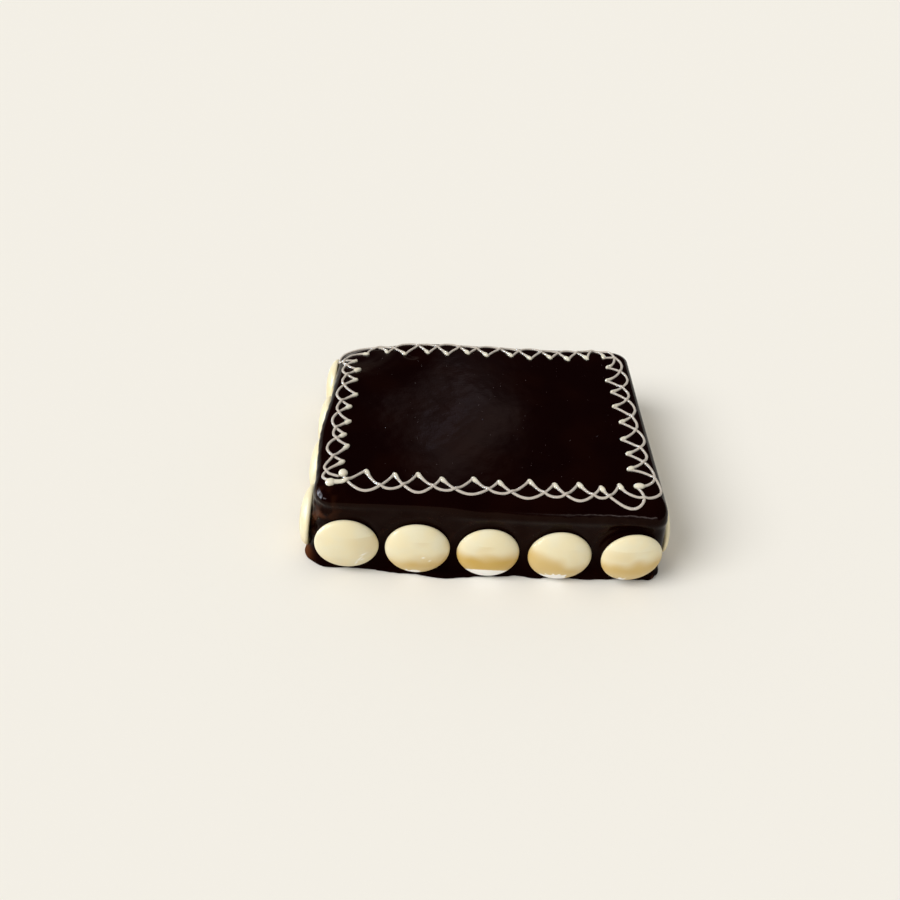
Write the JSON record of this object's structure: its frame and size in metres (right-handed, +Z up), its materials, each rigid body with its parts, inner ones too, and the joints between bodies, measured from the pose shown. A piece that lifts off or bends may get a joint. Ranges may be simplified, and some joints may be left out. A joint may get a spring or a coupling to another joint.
{
  "type": "chocolate glazed torte",
  "caption": "Rectangular chocolate torte under a dark mirror glaze, edged with crossing strands of piped icing and ringed with white chocolate buttons.",
  "frame": {"origin": "centre of the underside of the whole cake, on the plane it rests on", "axes": "+X along the longer side, +Z up, front towards -Y"},
  "size_m": [0.1887, 0.1557, 0.0493],
  "materials": {
    "chocolate_glaze": "near-black chocolate glaze, mirror glossy, reddish brown where it is thin",
    "piped_icing": "warm white icing, satin",
    "white_chocolate": "ivory white chocolate, smooth satin, more amber towards the foot"
  },
  "bodies": {
    "root": {"glazed_cake": "chocolate_glaze", "button_front_1": "white_chocolate", "button_front_2": "white_chocolate", "button_front_3": "white_chocolate", "button_front_4": "white_chocolate", "button_front_5": "white_chocolate", "button_right_1": "white_chocolate", "button_right_2": "white_chocolate", "button_right_3": "white_chocolate", "button_right_4": "white_chocolate", "button_back_1": "white_chocolate", "button_back_2": "white_chocolate", "button_back_3": "white_chocolate", "button_back_4": "white_chocolate", "button_back_5": "white_chocolate", "button_left_1": "white_chocolate", "button_left_2": "white_chocolate", "button_left_3": "white_chocolate", "button_left_4": "white_chocolate"}
  },
  "joints": []
}
